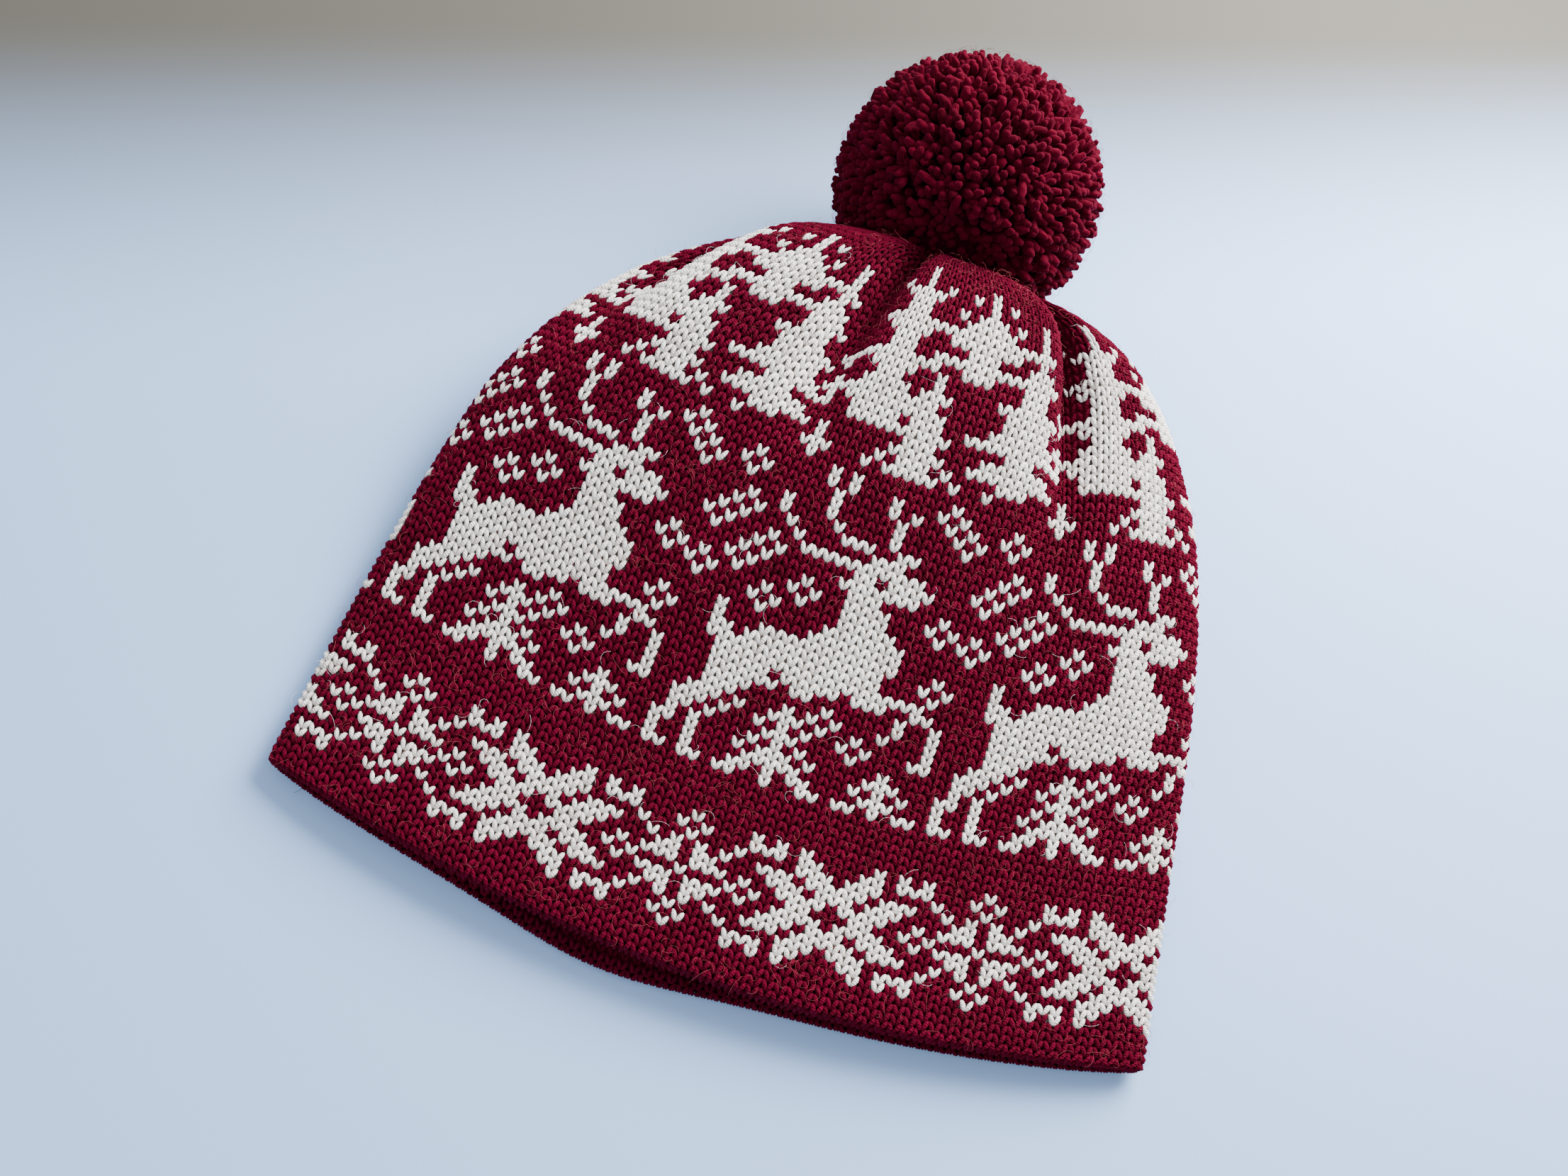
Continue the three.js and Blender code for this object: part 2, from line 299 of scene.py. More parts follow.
# Two-colour chart
# Figures are written as runs (column, first row, last row) of off-white stitches
chart = dict(
    repeat=24,
    # One quarter of the star and snowflake band, from the star's middle outwards
    starRow=5, starColumn=0,
    starQuarter=[
        "...#.#.#....#",
        "..##.###...#.",
        ".###....#...#",
        "###.###..#.#.",
        "##.###....##.",
        ".####..#.###.",
        "..##..#.#...#",
    ],
    deer=[
        (6, 23, 26), (7, 23, 23), (7, 26, 29), (8, 28, 30), (9, 23, 27), (9, 29, 37),
        (10, 23, 23), (10, 28, 28), (10, 30, 36), (11, 29, 29), (11, 31, 37),
        (12, 30, 30), (12, 32, 38), (13, 33, 38), (14, 33, 33), (14, 35, 38),
        (15, 34, 38), (16, 33, 39), (17, 33, 40), (18, 34, 47), (19, 34, 48),
        (20, 35, 45), (20, 47, 48), (21, 34, 43), (21, 45, 48), (22, 34, 41),
        (22, 45, 47), (23, 34, 35), (23, 38, 40), (23, 45, 47), (24, 46, 46),
        (24, 35, 35), (25, 35, 35), (26, 34, 35), (27, 34, 34), (28, 29, 33),
        (27, 29, 29), (24, 31, 31), (25, 32, 33), (8, 36, 39), (17, 45, 45),
    ],
    antlers=[
        (17, 47, 47), (16, 47, 47), (15, 47, 47), (14, 47, 47), (13, 47, 47), (12, 48, 48),
        (11, 49, 49), (10, 50, 51), (16, 49, 49), (17, 49, 49), (18, 49, 49), (15, 50, 50),
        (14, 51, 53), (13, 54, 55), (15, 54, 55), (21, 49, 49), (22, 49, 49), (20, 50, 52),
        (19, 53, 54), (21, 53, 53),
    ],
    # Each tree: middle column, then runs (columns from the middle, first row, last row), both sides
    trees=[
        (16, [(0, 23, 31), (1, 25, 26), (1, 28, 28), (1, 30, 30), (2, 24, 25), (2, 27, 27),
              (2, 29, 29), (3, 23, 24), (3, 26, 26), (4, 23, 23)]),
        (25, [(0, 23, 27), (1, 24, 24), (1, 26, 26), (2, 23, 23), (2, 25, 25), (3, 23, 23)]),
        (10, [(0, 56, 59), (1, 57, 57)]),
        (19, [(0, 57, 67), (1, 57, 63), (1, 65, 65), (2, 57, 57), (2, 59, 59), (2, 61, 61),
              (3, 58, 58), (4, 57, 57)]),
        (28, [(0, 58, 75), (1, 58, 70), (1, 72, 72), (2, 59, 60), (2, 62, 66), (2, 69, 69),
              (3, 59, 60), (3, 62, 63), (3, 66, 66), (4, 59, 59), (4, 62, 62), (5, 62, 62)]),
        (14, [(0, 61, 78), (1, 61, 75), (2, 61, 65), (2, 67, 68), (2, 71, 72), (2, 75, 75),
              (3, 63, 64), (3, 68, 68), (3, 72, 72), (3, 76, 76), (4, 64, 64), (4, 68, 68)]),
        (22, [(0, 68, 77), (1, 68, 74), (2, 69, 69), (2, 71, 73), (2, 76, 76), (3, 69, 69),
              (3, 71, 72), (3, 74, 74), (4, 69, 69), (4, 72, 72)]),
    ],
    # Snow: four stitches round a middle
    snow=[(19, 31), (22, 29), (3, 37), (11, 41), (5, 42), (14, 43), (2, 43), (8, 44), (5, 47),
          (10, 46), (7, 49), (2, 52), (6, 53), (0, 54)],
    lone=[(2, 57), (9, 63), (9, 64), (9, 65), (8, 64), (9, 67), (9, 68), (8, 68)],
)


def creamStitches():
    repeat = chart["repeat"]
    cream = np.zeros((knit["rows"] + 1, repeat), bool)

    def mark(column, first, last):
        for row in range(first, last + 1):
            cream[row, column % repeat] = True

    quarter = chart["starQuarter"]
    for i in range(2 * len(quarter) - 1):
        line = quarter[min(i, 2 * len(quarter) - 2 - i)]
        for away, sign in enumerate(line):
            if sign == "#":
                mark(chart["starColumn"] + away, chart["starRow"] + i, chart["starRow"] + i)
                mark(chart["starColumn"] - away, chart["starRow"] + i, chart["starRow"] + i)
    for column, first, last in chart["deer"] + chart["antlers"]:
        mark(column, first, last)
    for middle, runs in chart["trees"]:
        for away, first, last in runs:
            mark(middle + away, first, last)
            mark(middle - away, first, last)
    for column, row in chart["snow"]:
        mark(column, row + 1, row + 1)
        mark(column, row - 1, row - 1)
        mark(column - 1, row, row)
        mark(column + 1, row, row)
    for column, row in chart["lone"]:
        mark(column, row, row)
    return cream


creamChart = creamStitches()


def isCream(rows, columns):
    inChart = (rows >= 0) & (rows <= knit["rows"])
    return inChart & creamChart[np.clip(rows, 0, knit["rows"]), columns % chart["repeat"]]


# Wool materials
wool = dict(
    burgundy=dict(light=(0.094, 0.0007, 0.0128), dark=(0.040, 0.0002, 0.0046), twistShade=0.40,
                  sheen=0.10, sheenTint=(0.75, 0.03, 0.18)),
    cream=dict(light=(0.90, 0.87, 0.83), dark=(0.54, 0.49, 0.44), twistShade=0.35,
               sheen=0.12, sheenTint=(1.0, 1.0, 1.0)),
    # The wall behind the stitches: the yarn's colours darkened, painted shade in the gaps between stitches
    shadedBacking=dict(light=(0.050, 0.0004, 0.0075), dark=(0.020, 0.0001, 0.0027), twistShade=0.0,
                 sheen=0.02, sheenTint=(0.75, 0.03, 0.18)),
    shadedCreamBacking=dict(light=(0.30, 0.26, 0.23), dark=(0.19, 0.16, 0.14), twistShade=0.0,
                      sheen=0.02, sheenTint=(1.0, 1.0, 1.0)),
    pompom=dict(light=(0.088, 0.0005, 0.0098), dark=(0.030, 0.0001, 0.0030), twistShade=0.25,
                sheen=0.12, sheenTint=(0.75, 0.03, 0.18)),
    fibre=dict(light=(0.34, 0.07, 0.08), dark=(0.15, 0.015, 0.025), twistShade=0.0,
               sheen=0.0, sheenTint=(1.0, 1.0, 1.0)),
    tie=dict(light=(0.09, 0.0008, 0.012), dark=(0.035, 0.0002, 0.004), twistShade=0.0,
             sheen=0.1, sheenTint=(0.75, 0.03, 0.18)),
    roughness=0.92, sheenRoughness=0.45, gloss=0.04,
    fleckScale=900.0, fleckDetail=3, fleckDepth=0.9,
    driftScale=38.0, driftDepth=0.5,
    twistTurns=2.0, twistHeight=0.9,
    bumpStrength=0.6, bumpHeight=0.0003,  # metres
)


def link(tree, source, target):
    tree.links.new(source, target)


# Yarn: a slow drift of tone, fine flecks, the twist along each leg with painted shade in its grooves, and
# the shade attribute: each stitch's own tone plus painted shade
def woolMaterial(name, finish):
    material = bpy.data.materials.new(name)
    material.use_nodes = True
    tree = material.node_tree
    shader = tree.nodes["Principled BSDF"]
    shader.inputs["Roughness"].default_value = wool["roughness"]
    shader.inputs["Sheen Weight"].default_value = finish["sheen"]
    shader.inputs["Sheen Roughness"].default_value = wool["sheenRoughness"]
    shader.inputs["Sheen Tint"].default_value = (*finish["sheenTint"], 1)
    shader.inputs["Specular IOR Level"].default_value = wool["gloss"]
    place = tree.nodes.new("ShaderNodeTexCoord")
    fleck = tree.nodes.new("ShaderNodeTexNoise")
    fleck.inputs["Scale"].default_value = wool["fleckScale"]
    fleck.inputs["Detail"].default_value = wool["fleckDetail"]
    link(tree, place.outputs["Object"], fleck.inputs["Vector"])
    drift = tree.nodes.new("ShaderNodeTexNoise")
    drift.inputs["Scale"].default_value = wool["driftScale"]
    link(tree, place.outputs["Object"], drift.inputs["Vector"])
    shade = tree.nodes.new("ShaderNodeAttribute")
    shade.attribute_name = "shade"

    def join(operation, first, second, amount=None):
        node = tree.nodes.new("ShaderNodeMath")
        node.operation = operation
        for socket, value in zip(node.inputs, (first, second, amount)):
            if isinstance(value, (int, float)):
                socket.default_value = value
            elif value is not None:
                link(tree, value, socket)
        return node.outputs[0]

    level = join('MULTIPLY_ADD', fleck.outputs["Fac"], wool["fleckDepth"], -wool["fleckDepth"] / 2)
    level = join('ADD', level, shade.outputs["Fac"])
    level = join('MULTIPLY_ADD', drift.outputs["Fac"], wool["driftDepth"], level)
    level = join('SUBTRACT', level, wool["driftDepth"] / 2)
    height = fleck.outputs["Fac"]
    if finish["twistShade"] > 0:
        split = tree.nodes.new("ShaderNodeSeparateXYZ")
        link(tree, place.outputs["UV"], split.inputs[0])
        turns = join('MULTIPLY_ADD', split.outputs[1], wool["twistTurns"] * 2, split.outputs[0])
        angle = join('MULTIPLY', turns, 4 * math.pi)
        strand = join('MULTIPLY_ADD', join('SINE', angle, None), 0.5, 0.5)
        # painted light and shade of the twisted plies: lighter along their crests, darker in the grooves
        # between them
        level = join('MULTIPLY_ADD', strand, finish["twistShade"] / 2, level)
        level = join('SUBTRACT', level, finish["twistShade"] / 4)
        height = join('MULTIPLY_ADD', strand, wool["twistHeight"], fleck.outputs["Fac"])
    ramp = tree.nodes.new("ShaderNodeValToRGB")
    ramp.color_ramp.elements[0].color = (*finish["dark"], 1)
    ramp.color_ramp.elements[1].color = (*finish["light"], 1)
    link(tree, level, ramp.inputs["Fac"])
    link(tree, ramp.outputs["Color"], shader.inputs["Base Color"])
    bump = tree.nodes.new("ShaderNodeBump")
    bump.inputs["Strength"].default_value = wool["bumpStrength"]
    bump.inputs["Distance"].default_value = wool["bumpHeight"]
    link(tree, height, bump.inputs["Height"])
    link(tree, bump.outputs["Normal"], shader.inputs["Normal"])
    return material


burgundyWool = woolMaterial("burgundyWool", wool["burgundy"])
creamWool = woolMaterial("creamWool", wool["cream"])
shadedBackingWool = woolMaterial("shadedBackingWool", wool["shadedBacking"])
shadedCreamBackingWool = woolMaterial("shadedCreamBackingWool", wool["shadedCreamBacking"])
pompomWool = woolMaterial("pompomWool", wool["pompom"])
tieYarn = woolMaterial("tieYarn", wool["tie"])
paleFibre = woolMaterial("paleFibre", wool["fibre"])


# Copies of one model
def selectNone():
    if bpy.context.object and bpy.context.object.mode != 'OBJECT':
        bpy.ops.object.mode_set(mode='OBJECT')
    bpy.ops.object.select_all(action='DESELECT')


# The corners, faces and UVs of a finished template, which is then removed
def takeTemplate(piece):
    mesh = piece.data
    corners = np.array([vertex.co for vertex in mesh.vertices])
    faces = [list(face.vertices) for face in mesh.polygons]
    uvLayer = mesh.uv_layers.active.data
    uvs = np.array([uvLayer[i].uv for face in mesh.polygons for i in face.loop_indices])
    bpy.data.objects.remove(piece, do_unlink=True)
    return dict(corners=corners, faces=faces, uvs=uvs)


# A finished mesh becomes a piece that rides on the hat
def addPiece(name, mesh):
    piece = bpy.data.objects.new(name, mesh)
    bpy.context.scene.collection.objects.link(piece)
    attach(piece, "root")
    return piece


# One mesh from many placed copies: points is (copies, corners, 3) in metres, shades the same without xyz
def meshOfCopies(name, template, points, shades, material):
    copies, corners = points.shape[:2]
    sizes = np.array([len(face) for face in template["faces"]])
    faceLoops = np.concatenate([np.array(face) for face in template["faces"]])
    loops = (faceLoops[None, :] + corners * np.arange(copies)[:, None]).ravel()
    sizeList = np.tile(sizes, copies)
    starts = np.concatenate([[0], np.cumsum(sizeList)[:-1]])
    mesh = bpy.data.meshes.new(name)
    mesh.vertices.add(copies * corners)
    mesh.vertices.foreach_set("co", points.reshape(-1).astype(np.float32))
    mesh.loops.add(len(loops))
    mesh.loops.foreach_set("vertex_index", loops.astype(np.int32))
    mesh.polygons.add(len(sizeList))
    mesh.polygons.foreach_set("loop_start", starts.astype(np.int32))
    mesh.polygons.foreach_set("use_smooth", np.ones(len(sizeList), bool))
    mesh.update(calc_edges=True)
    mesh.validate()
    uvLayer = mesh.uv_layers.new(name="UVMap")
    uvLayer.data.foreach_set("uv", np.tile(template["uvs"], (copies, 1)).ravel().astype(np.float32))
    shadeLayer = mesh.attributes.new("shade", 'FLOAT', 'POINT')
    shadeLayer.data.foreach_set("value", shades.ravel().astype(np.float32))
    mesh.materials.append(material)
    return addPiece(name, mesh)


# Stitches
stitch = dict(
    legWidth=0.225, legDepth=0.85,        # half width in columns, half depth in mm
    armTop=0.40, legSlant=0.315,          # columns from the middle, at the top and lost on the way down
    slantCurve=1.15,
    rowTop=0.42, rowSpan=1.40,            # rows above the middle of its row, and the leg's length
    endSink=0.42, middleRise=0.20, floorClear=0.05,   # mm
    # painted shade: each leg is darker low on its sides, where it sinks between its neighbours
    paintedSideShade=0.34,                       # how much darker a leg is low on its sides
    upperSegments=5, underSegments=4, rings=4,
    fullPart=(0.3, 0.9), fullness=(1.12, 1.06, 1.12),
    squeezeRatio=1.1, squeezeLimits=(0.22, 1.05),     # legs get thinner where the gathering narrows them
    placeJitter=0.018, shadeJitter=0.13, legShadeJitter=0.052, seed=7,
    sideColumns=3,                        # the finer legs reach this far round each side
    hemRows=(-5, 0),
    frontRows=(1, 44), crownRows=(45, 86),
)


# One leg of a stitch: a round strand with two pointed ends, along Y from its foot at -1 to its top at 1
def legTemplate(segments):
    selectNone()
    bpy.ops.mesh.primitive_uv_sphere_add(segments=segments, ring_count=stitch["rings"], radius=1,
                                         rotation=(math.pi / 2, 0, 0))
    leg = bpy.context.object
    bpy.ops.object.transform_apply(location=False, rotation=True, scale=False)
    bpy.ops.object.mode_set(mode='EDIT')
    bpy.ops.mesh.select_all(action='DESELECT')
    bpy.ops.object.mode_set(mode='OBJECT')
    for vertex in leg.data.vertices:
        vertex.select = stitch["fullPart"][0] < abs(vertex.co.y) < stitch["fullPart"][1]
    bpy.ops.object.mode_set(mode='EDIT')
    bpy.ops.transform.resize(value=stitch["fullness"])
    bpy.ops.object.mode_set(mode='OBJECT')
    return takeTemplate(leg)


def placeLegs(template, rows, columns, jitter):
    corners = template["corners"]
    side = np.array([-1.0, 1.0])[None, :, None]
    down = ((1 - corners[:, 1]) / 2)[None, None, :]
    lean = stitch["armTop"] - stitch["legSlant"] * down ** stitch["slantCurve"]
    shiftColumn = jitter.normal(0, stitch["placeJitter"], (len(rows), 2, 1))
    shiftRow = jitter.normal(0, stitch["placeJitter"], (len(rows), 2, 1))
    legColumns = (columns[:, None, None] + knit["columnShift"] + shiftColumn
                  + side * lean + corners[None, None, :, 0] * stitch["legWidth"])
    legRows = rows[:, None, None] + shiftRow + stitch["rowTop"] - stitch["rowSpan"] * down + 0 * side
    points, normals, width = onSurface(legRows, legColumns)
    squeeze = np.clip(width / knit["stitchWidth"] * stitch["squeezeRatio"], *stitch["squeezeLimits"])
    along = corners[None, None, :, 1]
    bow = stitch["middleRise"] - (stitch["middleRise"] + stitch["endSink"]) * along ** 2
    height = (bow + corners[None, None, :, 2] * stitch["legDepth"]) * squeeze
    points = points + normals * height[..., None]
    points[..., 2] = np.maximum(points[..., 2], stitch["floorClear"])
    # Each stitch and each leg get their own tone at random, plus painted shade low on the legs' sides
    shades = (0.5 + jitter.normal(0, stitch["shadeJitter"], (len(rows), 1, 1))
              + jitter.normal(0, stitch["legShadeJitter"], (len(rows), 2, 1))
              + stitch["paintedSideShade"] * (corners[None, None, :, 2] - 0.5))
    points = points.reshape(-1, len(corners), 3) * mm + np.array(hatPlace)
    return points, shades.reshape(-1, len(corners))


# The stitches of one colour in a range of rows: upper is True, False or None for both sides
def stitchPiece(name, template, rowRange, upper, cream, jitter):
    rowGrid, columnGrid = np.meshgrid(np.arange(rowRange[0], rowRange[1] + 1),
                                      np.arange(knit["stitchesRound"]), indexing="ij")
    rows, columns = rowGrid.ravel(), columnGrid.ravel()
    topHalf = knit["stitchesRound"] / 4 + stitch["sideColumns"]
    above = np.abs(columnsApart(columns, knit["topColumn"])) <= topHalf
    wanted = isCream(rows, columns) == cream
    if upper is not None:
        wanted &= above == upper
    points, shades = placeLegs(template, rows[wanted].astype(float), columns[wanted].astype(float), jitter)
    piece = meshOfCopies(name, template, points, shades, creamWool if cream else burgundyWool)


def knitStitches():
    jitter = np.random.RandomState(stitch["seed"])
    upperLeg = legTemplate(stitch["upperSegments"])
    underLeg = legTemplate(stitch["underSegments"])
    front, crown = stitch["frontRows"], stitch["crownRows"]
    whole = (front[0], crown[1])
    stitchPiece("burgundyStitchesFront", upperLeg, front, True, False, jitter)
    stitchPiece("burgundyStitchesCrown", upperLeg, crown, True, False, jitter)
    stitchPiece("creamStitchesTop", upperLeg, whole, True, True, jitter)
    stitchPiece("burgundyStitchesUnderFront", underLeg, front, False, False, jitter)
    stitchPiece("burgundyStitchesUnderCrown", underLeg, crown, False, False, jitter)
    stitchPiece("creamStitchesUnder", underLeg, whole, False, True, jitter)
    stitchPiece("brimStitches", underLeg, stitch["hemRows"], None, False, jitter)


knitStitches()
print("stitches knitted")

# Wall behind the stitches
wall = dict(
    sink=0.95, inner=3.0,                 # mm below the surface
    firstLoop=0.22, lastLoop=0.3, innerRowStep=3,     # rows
    shade=0.5,
)


# Loops of the closed wall, from the brim up its outer face and back down its inner one.
# Its outer faces lie under one stitch each, and are pale under the off-white ones; both wall colours are
# the yarn's colours darkened, painted shade in the gaps between stitches
def wallLoops():
    stitches = knit["stitchesRound"]
    columns = np.arange(stitches) + knit["columnShift"] - 0.5
    rings = []
    for row in np.arange(wall["firstLoop"], knit["rows"] + wall["lastLoop"], 1):
        points, normals, _ = onSurface(np.full(stitches, row), columns)
        rings.append(points - normals * wall["sink"])
    outerCount = len(rings)
    for row in range(knit["rows"], 0, -wall["innerRowStep"]):
        rings.append(knitRing(modelRow(row), columns, wall["inner"]))
    rings.append((rings[-1] + rings[0]) / 2)
    points = np.stack(rings)
    count = len(rings)
    faces = []
    faceCream = []
    for i in range(count):
        below = (i + 1) % count
        for j in range(stitches):
            k = (j + 1) % stitches
            faces.append((i * stitches + j, i * stitches + k, below * stitches + k, below * stitches + j))
            faceCream.append(int(i < outerCount - 1 and isCream(np.array([i + 1]), np.array([j]))[0]))
    return points, faces, faceCream


def makeKnitBacking():
    points, faces, faceCream = wallLoops()
    mesh = bpy.data.meshes.new("knitBacking")
    mesh.from_pydata((points.reshape(-1, 3) * mm + np.array(hatPlace)).tolist(), [], faces)
    # Both wall colours are painted shade: the yarn's colours darkened where the gaps between stitches fall
    mesh.materials.append(shadedBackingWool)
    mesh.materials.append(shadedCreamBackingWool)
    mesh.polygons.foreach_set("material_index", np.array(faceCream, dtype=np.int32))
    mesh.polygons.foreach_set("use_smooth", np.ones(len(faces), bool))
    shadeLayer = mesh.attributes.new("shade", 'FLOAT', 'POINT')
    shadeLayer.data.foreach_set("value", np.full(len(mesh.vertices), wall["shade"], np.float32))
    mesh.update()
    knitBacking = addPiece("knitBacking", mesh)
    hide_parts("knit_body")


makeKnitBacking()
print("wall behind the stitches made")

# Pompom
pompom = dict(
    centre=(4.0, 273.0, 45.5), radius=46.5, coreRadius=37.0, rootRadius=31.0,
    yarnEnds=2900, yarnRadius=1.55, lean=0.30, lengthSpread=0.055,
    yarnSides=6, shoulder=0.82, rim=0.99, tip=1.012, rimWidth=0.6, rootWidth=0.7,     # of one end
    sizeSpread=(0.85, 1.15), placeSpread=0.012, shortest=4.0,
    # painted shade: each yarn end is darker at its root, deep in the pompom, and lighter towards its tip
    rootShade=0.42, tipShade=0.16, tipFrom=0.55, shadeSpread=0.16,
    crownClear=0.5, coreCrownClear=1.5, floorClear=0.3, seed=11,
)


# One cut yarn end along Z from 0 to 1: a strand a little thinner at its root, with a blunt round tip
def yarnEndTemplate():
    selectNone()
    bpy.ops.mesh.primitive_cylinder_add(vertices=pompom["yarnSides"], radius=1, depth=1,
                                        location=(0, 0, 0.5), end_fill_type='TRIFAN')
    yarnEnd = bpy.context.object
    bpy.ops.object.transform_apply(location=True, rotation=True, scale=True)
    bpy.ops.object.mode_set(mode='EDIT')
    bpy.ops.mesh.select_all(action='SELECT')
    bpy.ops.mesh.bisect(plane_co=(0, 0, pompom["shoulder"]), plane_no=(0, 0, 1))
    bpy.ops.object.mode_set(mode='OBJECT')
    for vertex in yarnEnd.data.vertices:
        onAxis = math.hypot(vertex.co.x, vertex.co.y) < 0.1
        atTip = vertex.co.z > 0.95
        atRoot = vertex.co.z < 0.05
        if atTip and onAxis:
            vertex.co.z = pompom["tip"]
        elif atTip:
            vertex.co.x *= pompom["rimWidth"]
            vertex.co.y *= pompom["rimWidth"]
            vertex.co.z = pompom["rim"]
        elif atRoot:
            vertex.co.x *= pompom["rootWidth"]
            vertex.co.y *= pompom["rootWidth"]
    return takeTemplate(yarnEnd)


def evenDirections(count):
    i = np.arange(count)
    z = 1 - (2 * i + 1) / count
    ring = np.sqrt(1 - z * z)
    angle = i * math.pi * (3 - math.sqrt(5))
    return np.column_stack([ring * np.cos(angle), ring * np.sin(angle), z])


def pompomReach(directions):
    centre = np.array(pompom["centre"])
    crownSeat = surfacePoints[..., 1].max() + pompom["crownClear"]
    towardCrown = np.minimum(directions[:, 1], -1e-3)
    towardFloor = np.minimum(directions[:, 2], -1e-3)
    toCrown = (crownSeat - centre[1]) / towardCrown
    toFloor = (pompom["floorClear"] - centre[2]) / towardFloor
    return np.minimum(np.minimum(pompom["radius"], toCrown), toFloor)


def placeYarnEnds():
    template = yarnEndTemplate()
    corners = template["corners"]
    shake = np.random.RandomState(pompom["seed"])
    count = pompom["yarnEnds"]
    directions = unit(evenDirections(count) + shake.normal(0, pompom["placeSpread"], (count, 3)))
    leans = unit(directions + shake.normal(0, pompom["lean"], (count, 3)))
    spread = 1 - np.abs(shake.normal(0, pompom["lengthSpread"], count))
    tips = directions * (pompomReach(directions) * spread)[:, None]
    tips *= np.minimum(1, pompomReach(unit(tips)) / np.linalg.norm(tips, axis=1))[:, None]
    showing = np.maximum(np.linalg.norm(tips, axis=1) - pompom["rootRadius"], pompom["shortest"])
    roots = tips - leans * showing[:, None]
    axis = unit(tips - roots)
    helper = np.where(np.abs(axis[:, 2:3]) < 0.9, np.array([[0, 0, 1.0]]), np.array([[1.0, 0, 0]]))
    sideA = unit(np.cross(axis, helper))
    sideB = np.cross(axis, sideA)
    turn = shake.uniform(0, 2 * math.pi, count)[:, None]
    sideTurned = sideA * np.cos(turn) + sideB * np.sin(turn)
    sideOther = np.cross(axis, sideTurned)
    size = (pompom["yarnRadius"] * shake.uniform(*pompom["sizeSpread"], count))[:, None, None]
    length = np.linalg.norm(tips - roots, axis=1)[:, None, None]
    points = (roots[:, None, :] + axis[:, None, :] * corners[None, :, 2:3] * length
              + sideTurned[:, None, :] * corners[None, :, 0:1] * size
              + sideOther[:, None, :] * corners[None, :, 1:2] * size)
    points += np.array(pompom["centre"])
    points[..., 2] = np.maximum(points[..., 2], pompom["floorClear"])
    # Painted shade from root to tip, plus each end's own tone at random
    towardTip = smoothStep((corners[None, :, 2] - pompom["tipFrom"]) / (1 - pompom["tipFrom"]))
    shades = (pompom["rootShade"] + pompom["tipShade"] * towardTip
              + shake.normal(0, pompom["shadeSpread"], count)[:, None])
    return meshOfCopies("pompomYarnEnds", template, points * mm + np.array(hatPlace), shades, pompomWool)


def makePompomCore():
    selectNone()
    centre = Vector(pompom["centre"]) * mm + hatPlace
    bpy.ops.mesh.primitive_ico_sphere_add(subdivisions=4, radius=pompom["coreRadius"] * mm, location=centre)
    core = bpy.context.object
    core.name = core.data.name = "pompomCore"
    bpy.ops.object.transform_apply(location=True, rotation=True, scale=True)
    cut = (surfacePoints[..., 1].max() + pompom["coreCrownClear"]) * mm + hatPlace.y
    bpy.ops.object.mode_set(mode='EDIT')
    bpy.ops.mesh.select_all(action='SELECT')
    bpy.ops.mesh.bisect(plane_co=(0, cut, 0), plane_no=(0, 1, 0), clear_inner=True, use_fill=True)
    bpy.ops.object.mode_set(mode='OBJECT')
    bpy.ops.object.shade_smooth()
    # The core wears the darkened wall wool: painted shade deep between the yarn ends
    core.data.materials.clear()
    core.data.materials.append(shadedBackingWool)
    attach(core, "root")


yarnEnds = placeYarnEnds()
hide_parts("pompom")
makePompomCore()
print("pompom tied:", pompom["yarnEnds"], "yarn ends")

# The tie keeps its solid
tieNode = frame["nodes"]["pompom_tie"]
if not tieNode.material_slots:
    tieNode.data.materials.append(None)
tieNode.material_slots[0].material = tieYarn

# Loose fibres
fuzz = dict(
    sides=3, steps=5, radius=0.038, seed=23,
    burgundyCurls=2200, creamCurls=500, pompomCurls=1100,
    length=(2.0, 7.0), turn=(0.3, 4.2), loosePart=(0.5, 1.0),
    rise=(0.3, 1.8), pompomRise=(0.4, 1.8),
    knitRoot=0.6, pompomRoot=0.985,       # mm above the surface, share of the pompom's reach
    plainRows=4, sideColumns=4, triesForOne=12,
    knitShade=0.75, pompomShade=0.7, floorClear=0.05,
)


# A fibre tube along a unit line, bent by the caller
def fibreTemplate():
    selectNone()
    bpy.ops.mesh.primitive_cylinder_add(vertices=fuzz["sides"], radius=1, depth=1, location=(0, 0, 0.5))
    fibre = bpy.context.object
    bpy.ops.object.transform_apply(location=True, rotation=True, scale=True)
    bpy.ops.object.mode_set(mode='EDIT')
    for i in range(1, fuzz["steps"]):
        bpy.ops.mesh.select_all(action='SELECT')
        bpy.ops.mesh.bisect(plane_co=(0, 0, i / fuzz["steps"]), plane_no=(0, 0, 1))
    bpy.ops.object.mode_set(mode='OBJECT')
    return takeTemplate(fibre)


def bendFibres(template, starts, normals, random, rise):
    corners = template["corners"]
    count = len(starts)
    t = corners[:, 2]
    aside = unit(np.cross(normals, random.normal(0, 1, (count, 3))))
    other = np.cross(normals, aside)
    length = random.uniform(*fuzz["length"], count)[:, None]
    curl = (random.uniform(*fuzz["turn"], count) * random.choice([-1, 1], count))[:, None]
    angle = curl * t[None, :]
    reachA = np.sin(angle) / curl * length
    reachB = (1 - np.cos(angle)) / curl * length
    loosePart = random.uniform(*fuzz["loosePart"], count)[:, None]
    lift = rise[:, None] * np.sin(math.pi * np.clip(t[None, :] * loosePart, 0, 1))
    path = (starts[:, None, :] + aside[:, None, :] * reachA[..., None]
            + other[:, None, :] * reachB[..., None] + normals[:, None, :] * lift[..., None])
    forward = aside[:, None, :] * np.cos(angle)[..., None] + other[:, None, :] * np.sin(angle)[..., None]
    sideways = np.cross(np.broadcast_to(normals[:, None, :], forward.shape), forward)
    points = (path + sideways * (corners[None, :, 0:1] * fuzz["radius"])
              + normals[:, None, :] * (corners[None, :, 1:2] * fuzz["radius"]))
    points[..., 2] = np.maximum(points[..., 2], fuzz["floorClear"])
    return points * mm + np.array(hatPlace)


